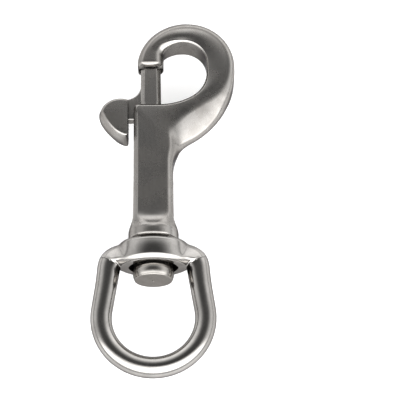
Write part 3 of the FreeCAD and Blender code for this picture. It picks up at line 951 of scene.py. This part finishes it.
@dataclass
class LatchBolt:
    """The eight-sided bolt with its guide, web and thumb trigger, cast in one piece."""

    axis_x: float = -0.85
    foot_y: float = 70.5
    foot_step: float = 0.4
    guide_radius: float = 3.8
    guide_top: float = 78.5
    guide_edge: float = 0.3
    shoulder: float = 0.5
    tip_y: float = 94.6
    tip_round: float = 0.7
    root_half: float = 3.25
    tip_half: float = 3.05
    bevel: float = 1.2
    bevel_round: float = 0.4
    web_half: float = 1.7
    web_foot: float = 77.2
    web_top: float = 88.9
    web_curve: float = 4.8
    trigger_x: float = -7.8
    trigger_half: float = 4.5
    trigger_sides: tuple[float, float] = (70.6, 83.0)
    crown_centre: Point = (-10.3, 76.3)
    crown_radius: float = 7.4
    crown_bulge: float = 0.4

    CROWN_ARC = (69.0, 156.5)
    CROWN_SWELL = ((0.0, 0.25), (0.35, 0.28), (0.8, 0.5), (1.0, 1.0))
    CROWN_POINTS, SWEEP_POINTS, SIDE_POINTS, WEB_POINTS = 40, 44, 30, 160
    SIDE_SOFTNESS = 0.25
    SWEEP_FACE = ((-16.1, 79.2), (-15.55, 77.7), (-14.5, 75.7), (-13.05, 73.7), (-11.4, 72.0),
                  (-9.7, 70.95), (-8.3, 70.4))
    SWEEP_GIRTH = ((-17.15, 78.9), (-16.7, 77.4), (-15.6, 75.3), (-14.0, 73.3), (-12.1, 71.6),
                   (-10.3, 70.7), (-8.9, 70.4))

    def bar(self) -> bpy.types.Object:
        """The round guide and the eight-sided bar above it."""
        mouth = self.guide_top + self.shoulder
        guide = Edge.round(self.guide_radius)
        bevelled = Edge(self.bevel, self.bevel, self.bevel_round)
        rows = [
            (self.foot_y, self.guide_radius - self.foot_step, guide),
            (self.foot_y + self.foot_step, self.guide_radius, guide),
            (self.guide_top - self.guide_edge, self.guide_radius, guide),
            (mouth, self.root_half, Edge(1.35, 1.35, 0.4)),
        ]
        for share in (0.25, 0.5, 0.75, 0.93):
            rows.append((mouth + (self.tip_y - mouth) * share,
                         self.root_half + (self.tip_half - self.root_half) * share, bevelled))
        for angle in np.radians([15, 30, 45, 60, 75, 90]):
            rows.append((self.tip_y - self.tip_round * (1 - math.sin(angle)),
                         self.tip_half - self.tip_round * (1 - math.cos(angle)), bevelled))
        rings = []
        for y, half, edge in rows:
            flat = Section.points(2 * half, half, half, edge.values(), edge.values(), 0.0)
            rings.append(np.column_stack([self.axis_x - half + flat[:, 0], np.full(len(flat), y),
                                          flat[:, 1]]))
        return Shell.skin("latch_bolt_casting", np.array(rings))

    def web(self) -> bpy.types.Object:
        """The thin web that joins the bar and the trigger, with its hollow upper side."""
        left = self.axis_x - self.tip_half
        path = Path((left - self.web_curve, self.web_foot)).line((self.axis_x, self.web_foot))
        path.line((self.axis_x, self.web_top)).line((left, self.web_top))
        path.arc((left - self.web_curve, self.web_top), self.web_curve, 0, -90)
        path.line((left - self.web_curve, self.web_foot))
        points, lengths = path.table()
        places = np.linspace(0, lengths[-1], self.WEB_POINTS + 1)[:-1]
        outline = np.stack([np.interp(places, lengths, points[:, axis]) for axis in (0, 1)], axis=1)
        half = self.web_half
        profile = [(half, 0, 0.34), (half, 0, 0.27), (half - 0.03, 0, 0.16), (half - 0.12, 0, 0.06),
                   (half - 0.28, 0, 0.0), (0, 0, 0)]
        return Shell.plate("web", outline, outline, np.ones(len(outline)), profile, 14)

    def trigger(self) -> bpy.types.Object:
        """The fan-shaped trigger, whose outer wall swells towards its middle."""
        angles = np.radians(np.linspace(*self.CROWN_ARC, self.CROWN_POINTS))
        swell = np.array(self.CROWN_SWELL)
        swell = smooth_rows(swell[:, 0], swell[:, 1:], np.linspace(0, 1, self.CROWN_POINTS))[:, 0]
        bulge = self.crown_bulge * np.sin(np.linspace(0, math.pi, self.CROWN_POINTS)) ** 2
        centre = np.array(self.crown_centre)
        rays = np.stack([np.cos(angles), np.sin(angles)], axis=1)
        crown_face = centre + rays * (self.crown_radius - swell)[:, None]
        crown_girth = centre + rays * (self.crown_radius + bulge)[:, None]
        side = np.column_stack([np.full(self.SIDE_POINTS, self.trigger_x),
                                np.linspace(*self.trigger_sides, self.SIDE_POINTS)])
        face = np.concatenate([crown_face, self.swept(crown_face[-1], self.SWEEP_FACE), side])
        girth = np.concatenate([crown_girth, self.swept(crown_girth[-1], self.SWEEP_GIRTH), side])
        half = self.trigger_half
        softness = np.ones(len(face))
        softness[-self.SIDE_POINTS:] = self.SIDE_SOFTNESS
        profile = [(half, 0, 0.85), (half, 0, 0.75), (half - 0.06, 0, 0.52), (half - 0.2, 0.02, 0.3),
                   (half - 0.42, 0.06, 0.13), (half - 0.75, 0.14, 0.02), (3.0, 0.36, 0), (2.0, 0.68, 0),
                   (1.0, 0.92, 0), (0, 1, 0)]
        return Shell.plate("trigger", face, girth, softness, profile)

    def swept(self, start: np.ndarray, through: Sequence[Point]) -> np.ndarray:
        """A smooth curve from a point, which it leaves out, through a sweep's later points."""
        table = np.array([start, *through[1:]])
        knots = lengths_along(table)
        return smooth_rows(knots, table, np.linspace(0, knots[-1], self.SWEEP_POINTS))[1:]

    def build(self, finishes: Finishes) -> Piece:
        """Fuses the bar, the web and the trigger.

        Args:
            finishes: The finishes.

        Returns:
            The bolt, which slides in the barrel.
        """
        thing = self.bar()
        Shell.combine(thing, self.web(), Join.FUSE)
        Shell.combine(thing, self.trigger(), Join.FUSE)
        return Piece(thing, "latch_bolt", "bolt", Slot.SATIN, finishes)


@dataclass
class SwivelEye:
    """The round-bar eye with the lens-shaped bridge that turns on the stud."""

    inner_radius: float = 12.5
    rod: float = 6.5
    lean: float = 9.5
    underside: float = 28.5
    bridge_top: float = 36.2
    bridge_half_depth: float = 9.05
    bridge_half_length: float = 11.6
    recess_half_length: float = 7.6
    recess_half_depth: float = 6.6
    recess_depth: float = 3.0
    hole_radius: float = 3.65
    overrun: float = 2.0

    LEAST_DEPTH = 2.6
    DEPTH_SHARE = 0.55
    AT_BRIDGE = 0.05
    LENS_POINTS = 48
    SHOULDER = ((18.2, 19.2), (17.5, 24.0), (17.2, 27.0), (17.0, 29.0), (16.5, 31.2), (15.6, 32.9),
                (14.1, 34.3), (12.3, 35.25), (10.5, 35.8), (8.7, 36.1), (6.4, 36.2), (3.0, 36.2),
                (0.0, 36.2))

    def paths(self) -> tuple[Path, Path]:
        """The inner and outer outline of the right half, from the bottom to the bridge's middle."""
        centre = (0.0, self.inner_radius)
        lean = math.radians(self.lean)
        corner_x = self.inner_radius * math.cos(lean) - math.tan(lean) * (
            self.underside - self.inner_radius * (1 + math.sin(lean)))
        inner = Path((0.0, 0.0)).arc(centre, self.inner_radius, -90, self.lean)
        inner.line((corner_x, self.underside)).line((0.0, self.underside))
        outer = Path((0.0, -self.rod)).arc(centre, self.inner_radius + self.rod, -90, self.lean)
        return inner, outer.sweep(self.SHOULDER)

    def stations(self) -> list[Station]:
        """The cross-sections of the right half."""
        rod = self.rod / 2
        bar = Edge.round(rod)
        low, top = Edge(1.5, 1.0, 1.7), Edge(1.1, 1.0, 1.1)
        return [
            Station((0.0, 0.0), (0.0, -6.5), rod, rod, bar, bar, 14),
            Station((8.84, 3.66), (13.43, -0.93), rod, rod, bar, bar, 14),
            Station((12.33, 14.56), (18.74, 15.64), rod, rod, bar, bar, 12),
            Station((10.9, 23.1), (17.6, 23.6), rod, rod, bar, bar, 10),
            Station((10.25, 26.9), (17.0, 28.0), rod, rod, bar, bar, 8),
            Station((10.0, 28.4), (16.0, 31.3), rod, rod, Edge(1.7, 1.7, 2.4), bar, 8),
            Station((9.4, 28.5), (14.1, 34.3), 4.6, 3.7, Edge(1.4, 1.4, 1.7), Edge(1.6, 1.6, 2.3), 8),
            Station((8.2, 28.5), (10.5, 35.8), 5.9, 4.6, low, Edge(1.4, 1.4, 1.8), 8),
            Station((6.8, 28.5), (7.5, 36.1), 7.1, 6.5, low, top, 8, 0.1),
            Station((4.5, 28.5), (4.7, 36.2), 8.3, 8.2, low, top, 10, 0.15),
            Station((0.0, 28.5), (0.0, 36.2), 9.2, 9.2, low, top, 1, 0.15),
        ]

    def build(self, finishes: Finishes) -> Piece:
        """Lofts the right half, mirrors it and cuts the recess and the hole.

        Args:
            finishes: The finishes.

        Returns:
            The eye, which turns on the stud.
        """
        casting = Casting(*self.paths(), self.stations())
        half = casting.rings(casting.rows(), None, self.depths)
        half[0][:, 0] = 0.0
        half[-1][:, 0] = 0.0
        other = half[1:-1][::-1] * np.array([-1.0, 1.0, 1.0])
        thing = Shell.skin("swivel_eye_casting", np.concatenate([half, other]), looped=True)
        low, high = self.underside - self.overrun, self.bridge_top + self.overrun
        recess = [self.lens(low), self.lens(self.underside + self.recess_depth)]
        Shell.combine(thing, Shell.skin("recess", np.array(recess)), Join.CUT)
        Shell.drill(thing, "hole", self.hole_radius, low, high)
        return Piece(thing, "swivel_eye", "eye", Slot.POLISHED, finishes)

    def depths(self, row: np.ndarray, near: np.ndarray, far: np.ndarray) -> tuple[float, float]:
        """Half depths that follow the bridge's lens plan from the section where it begins.

        Args:
            row: The section's own sizes.
            near: Where it meets the inner outline.
            far: Where it meets the outer outline.

        Returns:
            Half the depth at the inner and at the outer side.
        """
        if near[1] < self.underside - self.AT_BRIDGE:
            return row[2], row[3]
        depth = self.bridge_half_depth
        radius = self.lens_radius(self.bridge_half_length, depth)
        inner, outer = (math.sqrt(max(radius ** 2 - x ** 2, 0.0)) - (radius - depth)
                        for x in (near[0], far[0]))
        return max(inner, self.rod / 2), max(outer, row[3] * self.DEPTH_SHARE, self.LEAST_DEPTH)

    @staticmethod
    def lens_radius(half_length: float, half_depth: float) -> float:
        """The radius of the two arcs that bound a lens."""
        return (half_length ** 2 + half_depth ** 2) / (2 * half_depth)

    def lens(self, level: float) -> np.ndarray:
        """The recess's plan at one level."""
        length, depth = self.recess_half_length, self.recess_half_depth
        radius = self.lens_radius(length, depth)
        reach = math.asin(length / radius)
        angles = np.linspace(-reach, reach, self.LENS_POINTS + 1)[:-1]
        side = np.stack([radius * np.sin(angles), radius * np.cos(angles) - (radius - depth)], axis=1)
        plan = np.concatenate([side, -side])
        return np.column_stack([plan[:, 0], np.full(len(plan), level), plan[:, 1]])


@dataclass
class SwivelStud:
    """The turned stud whose head holds the eye, pressed into the collar by its tail."""

    face_y: float = 24.4
    neck_y: float = 28.5
    head_top: float = 31.3
    face_radius: float = 5.78
    neck_radius: float = 5.78
    swell: float = 0.46
    rim: float = 0.2
    edge: float = 0.3
    shank_radius: float = 3.6
    shank_top: float = 36.6
    tail_radius: float = 2.5
    tail_top: float = 43.1
    tail_edge: float = 0.4
    mark_radius: float = 0.33
    mark_depth: float = 0.9
    mark_edge: float = 0.05

    FACE_RINGS = (1.5, 3.0, 4.8)

    def build(self, finishes: Finishes) -> Piece:
        """Turns the stud, with a centre mark in its face.

        Args:
            finishes: The finishes.

        Returns:
            The stud, fixed to the body.
        """
        shares = np.linspace(0, 1, 9)
        head_foot = self.face_y + self.rim
        swell = self.face_radius + self.swell * (1 - (1 - shares / 0.5) ** 2)
        head = list(zip(swell, head_foot + shares * (self.neck_y - self.face_y - self.rim)))
        rim = [(self.face_radius - self.rim * (1 - math.sin(angle)),
                self.face_y + self.rim * (1 - math.cos(angle)))
               for angle in np.radians(np.linspace(0, 72, 5))]
        profile = [
            (0.0, self.face_y + self.mark_depth), (self.mark_radius, self.face_y + self.mark_depth),
            (self.mark_radius, self.face_y + self.mark_edge),
            (self.mark_radius + self.mark_edge, self.face_y),
            *[(radius, self.face_y) for radius in self.FACE_RINGS], *rim, *head,
            (self.neck_radius, self.head_top - self.edge),
            (self.neck_radius - self.edge, self.head_top), (self.shank_radius, self.head_top),
            (self.shank_radius, self.shank_top), (self.tail_radius, self.shank_top),
            (self.tail_radius, self.tail_top - self.tail_edge),
            (self.tail_radius - self.tail_edge, self.tail_top), (0.0, self.tail_top),
        ]
        thing = Shell.turned("swivel_stud_turning", profile)
        return Piece(thing, "swivel_stud", "body", Slot.TURNED, finishes)


@dataclass
class BoltSpring:
    """The compression spring that pushes the bolt up, wound along a helix with closed ends."""

    axis_x: float = -0.85
    foot_y: float = 48.05
    top_y: float = 70.45
    wire: float = 0.8
    outside: float = 7.0
    turns: float = 9.0
    end_turns: float = 1.2
    steps_a_turn: int = 36
    points_round: int = 14
    fill: float = 0.49

    def tree(self, material: bpy.types.Material) -> bpy.types.NodeTree:
        """Writes the node tree that winds the wire.

        Args:
            material: The wire's finish.

        Returns:
            A geometry node tree with the spring's sizes as inputs.
        """
        tree = bpy.data.node_groups.new("wound_spring", "GeometryNodeTree")
        sheet = NodeSheet(tree)
        for name, value in self.sizes().items():
            socket = tree.interface.new_socket(name, in_out="INPUT", socket_type="NodeSocketFloat")
            socket.default_value = value
        tree.interface.new_socket("Geometry", in_out="OUTPUT", socket_type="NodeSocketGeometry")
        given = sheet.node("NodeGroupInput")
        size = {name: sheet.signal(given, name) for name in self.sizes()}
        line = sheet.node("GeometryNodeCurvePrimitiveLine")
        count = int(self.turns * self.steps_a_turn) + 1
        fine = sheet.node("GeometryNodeResampleCurve", {"mode": "COUNT"},
                          {"Curve": sheet.signal(line), "Count": count})
        wound = sheet.signal(sheet.node("GeometryNodeSplineParameter"), "Factor") * size["Turns"]
        angle = wound * (2 * math.pi)
        open_turns = size["Turns"] - 2.0 * size["End Turns"]
        opened = ((wound - size["End Turns"]) / open_turns).clamped()
        rise = wound * size["Wire"] + opened * (size["Length"] - size["Wire"] * (size["Turns"] + 1.0))
        place = sheet.node("ShaderNodeCombineXYZ", None, {
            "X": angle.maths("COSINE", angle) * size["Coil Radius"] + size["Axis X"],
            "Y": rise + size["Foot Y"] + 0.5 * size["Wire"],
            "Z": angle.maths("SINE", angle) * size["Coil Radius"],
        })
        helix = sheet.node("GeometryNodeSetPosition", None,
                           {"Geometry": sheet.signal(fine), "Position": sheet.signal(place)})
        ring = sheet.node("GeometryNodeCurvePrimitiveCircle", None,
                          {"Resolution": self.points_round, "Radius": self.fill * size["Wire"]})
        swept = sheet.node("GeometryNodeCurveToMesh", None, {
            "Curve": sheet.signal(helix), "Profile Curve": sheet.signal(ring), "Fill Caps": True})
        real = sheet.node("GeometryNodeRealizeInstances", None, {"Geometry": sheet.signal(swept)})
        dressed = sheet.node("GeometryNodeSetMaterial", None,
                             {"Geometry": sheet.signal(real), "Material": material})
        sheet.node("NodeGroupOutput", None, {"Geometry": sheet.signal(dressed)})
        return tree

    def sizes(self) -> dict[str, float]:
        """The tree's inputs by name."""
        return {"Turns": self.turns, "End Turns": self.end_turns, "Wire": self.wire,
                "Coil Radius": (self.outside - self.wire) / 2, "Length": self.top_y - self.foot_y,
                "Axis X": self.axis_x, "Foot Y": self.foot_y}

    def build(self, finishes: Finishes, travel: float) -> Piece:
        """Winds the spring.

        Args:
            finishes: The finishes.
            travel: How far the bolt slides, in millimetres; not used.

        Returns:
            The spring.
        """
        thing = bpy.data.objects.new("bolt_spring_winding", bpy.data.meshes.new("bolt_spring_winding"))
        bpy.context.scene.collection.objects.link(thing)
        modifier = thing.modifiers.new("winding", "NODES")
        modifier.node_group = self.tree(finishes[Slot.WIRE])
        for entry in modifier.node_group.interface.items_tree:
            if entry.in_out == "INPUT":
                modifier[entry.identifier] = float(self.sizes()[entry.name])
        Shell.bake(thing)
        Shell.face_out(thing.data)
        piece = Piece(thing, "bolt_spring", "body", Slot.WIRE, finishes)
        length = self.top_y - self.foot_y
        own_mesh(piece.thing, "bolt_slide", axis=(0, 1, 0),
                  anchor=(self.axis_x * METRES, self.foot_y * METRES, 0), keep=(length - travel) / length)
        return piece


# ---------------------------------------------------------------- the studio


@dataclass
class Studio:
    """Camera, pale floor and soft light.

    Places and lengths are in millimetres, except the view range and the glow's fade, in metres.
    """

    aim: tuple[float, float, float] = (14.26, 50.68, 0.0)
    distance: float = 700.0
    elevation: float = 67.4
    roll: float = -0.45
    lens: float = 205.4
    sensor: float = 36.0
    view_range: tuple[float, float] = (0.01, 100.0)
    floor_half: float = 4000.0
    floor_gap: float = 0.5
    glow_centre: Point = (14.0, 60.0)
    glow_fade: tuple[float, float] = (0.092, 0.20)
    # Floor base colour near the snap and far out, and its glow near it: a painted pool of light round the
    # snap.
    painted_pool_near: float = 0.62
    painted_pool_far: float = 0.42
    glow_near: float = 0.48

    TENT_BASE, TENT_FRONT, TENT_WALLS, TENT_SIDE, TENT_BEHIND = 0.12, 0.90, 1.3, 0.2, 3.6

    def camera(self) -> None:
        """Sets the camera above the loop end, looking down at the snap."""
        rise = math.radians(self.elevation)
        away = Vector((0.0, -math.cos(rise), math.sin(rise)))
        data = bpy.data.cameras.new("camera")
        data.lens = self.lens
        data.sensor_width = self.sensor
        data.clip_start, data.clip_end = self.view_range
        camera = bpy.data.objects.new("camera", data)
        camera.location = (Vector(self.aim) + away * self.distance) * METRES
        turn = (-away).to_track_quat("-Z", "Y").to_matrix().to_4x4()
        camera.rotation_euler = (turn @ Matrix.Rotation(math.radians(self.roll), 4, "Z")).to_euler()
        bpy.context.scene.collection.objects.link(camera)
        bpy.context.scene.camera = camera

    def floor(self) -> None:
        """Lays a white table top under the snap, with a painted pool of light round it: it glows and its
        colour is lighter near the snap, and both fade further out.
        """
        level = CAD_BOX[0].z / METRES - self.floor_gap
        half = self.floor_half
        thing = Shell.add("table_top", np.array([(-half, -half, level), (half, -half, level),
                                                 (half, half, level), (-half, half, level)]),
                          [[0, 1, 2, 3]])
        thing.data.transform(Matrix.Scale(METRES, 4))
        material = bpy.data.materials.new("white_table")
        material.use_nodes = True
        sheet = NodeSheet(material.node_tree)
        place = sheet.signal(sheet.node("ShaderNodeTexCoord"), "Object")
        middle = tuple(Vector((*self.glow_centre, level)) * METRES)
        away = sheet.node("ShaderNodeVectorMath", {"operation": "DISTANCE"}, {0: place, 1: middle})
        # Painted pool of light: the base colour is lighter and the emission brighter near the snap, and
        # both fade further away.
        far = sheet.signal(away, "Value").eased(*self.glow_fade)
        painted_pool_colour, glow = (
            sheet.node("ShaderNodeMix", {"data_type": "RGBA"},
                       {0: far, 6: (near, near, near, 1.0), 7: (outer, outer, outer, 1.0)})
            for near, outer in ((self.painted_pool_near, self.painted_pool_far), (self.glow_near, 0.0)))
        shader = sheet.node("ShaderNodeBsdfPrincipled", None, {
            "Base Color": sheet.signal(painted_pool_colour, 2), "Roughness": 0.8,
            "Emission Color": sheet.signal(glow, 2), "Emission Strength": 1.0})
        sheet.node("ShaderNodeOutputMaterial", None, {"Surface": sheet.signal(shader)})
        thing.data.materials.append(material)

    def sky(self) -> None:
        """Surrounds the snap with a tent: dark overhead, bright walls, brightest past the eye's end."""
        world = bpy.data.worlds.new("light_tent")
        bpy.context.scene.world = world
        world.use_nodes = True
        sheet = NodeSheet(world.node_tree)
        facing = sheet.signal(sheet.node("ShaderNodeTexCoord"), "Generated")
        parts = sheet.node("ShaderNodeSeparateXYZ", None, {"Vector": facing})
        side, toward, height = (sheet.signal(parts, axis) for axis in "XYZ")
        walls = height.eased(-0.12, 0.25) * (1.0 - height.eased(0.42, 0.97))
        behind = (0.0 - toward).eased(0.0, 0.42) * height.eased(0.06, 0.34)
        light = (self.TENT_BASE + self.TENT_FRONT * toward.eased(0.36, 0.86)
                 + (self.TENT_WALLS + self.TENT_SIDE * side) * walls + self.TENT_BEHIND * behind)
        background = sheet.node("ShaderNodeBackground", None,
                                {"Color": (1.0, 1.0, 1.0, 1.0), "Strength": light})
        sheet.node("ShaderNodeOutputWorld", None, {"Surface": sheet.signal(background)})

    def softbox(self, name: str, place: tuple[float, float, float], size: tuple[float, float],
                power: float) -> None:
        """Hangs an area light that points at the snap.

        Args:
            name: The light's name.
            place: Where it hangs.
            size: Its width and height.
            power: Its power in watts.
        """
        data = bpy.data.lights.new(name, "AREA")
        data.shape = "RECTANGLE"
        data.size, data.size_y = size[0] * METRES, size[1] * METRES
        data.energy = power
        light = bpy.data.objects.new(name, data)
        light.location = Vector(place) * METRES
        light.rotation_euler = (Vector(self.aim) - Vector(place)).to_track_quat("-Z", "Y").to_euler()
        bpy.context.scene.collection.objects.link(light)

    def build(self) -> None:
        """Sets up the whole studio."""
        self.camera()
        self.floor()
        self.sky()
        self.softbox("front_softbox", (60.0, -620.0, 420.0), (520.0, 260.0), 1.5)
        scene = bpy.context.scene
        scene.view_settings.view_transform = "Standard"
        scene.view_settings.look = "None"


def main() -> None:
    """Builds the studio and every piece of the snap."""
    logging.basicConfig(level=logging.INFO, format="%(message)s")
    travel = next(joint["range_m"][1] for joint in frame["joints"]
                  if joint["name"] == "bolt_slide") / METRES
    finishes = Finishes()
    Studio().build()
    HookCasting().build(finishes)
    LatchBolt().build(finishes)
    SwivelEye().build(finishes)
    SwivelStud().build(finishes)
    BoltSpring().build(finishes, travel)


if __name__ == "__main__":
    main()
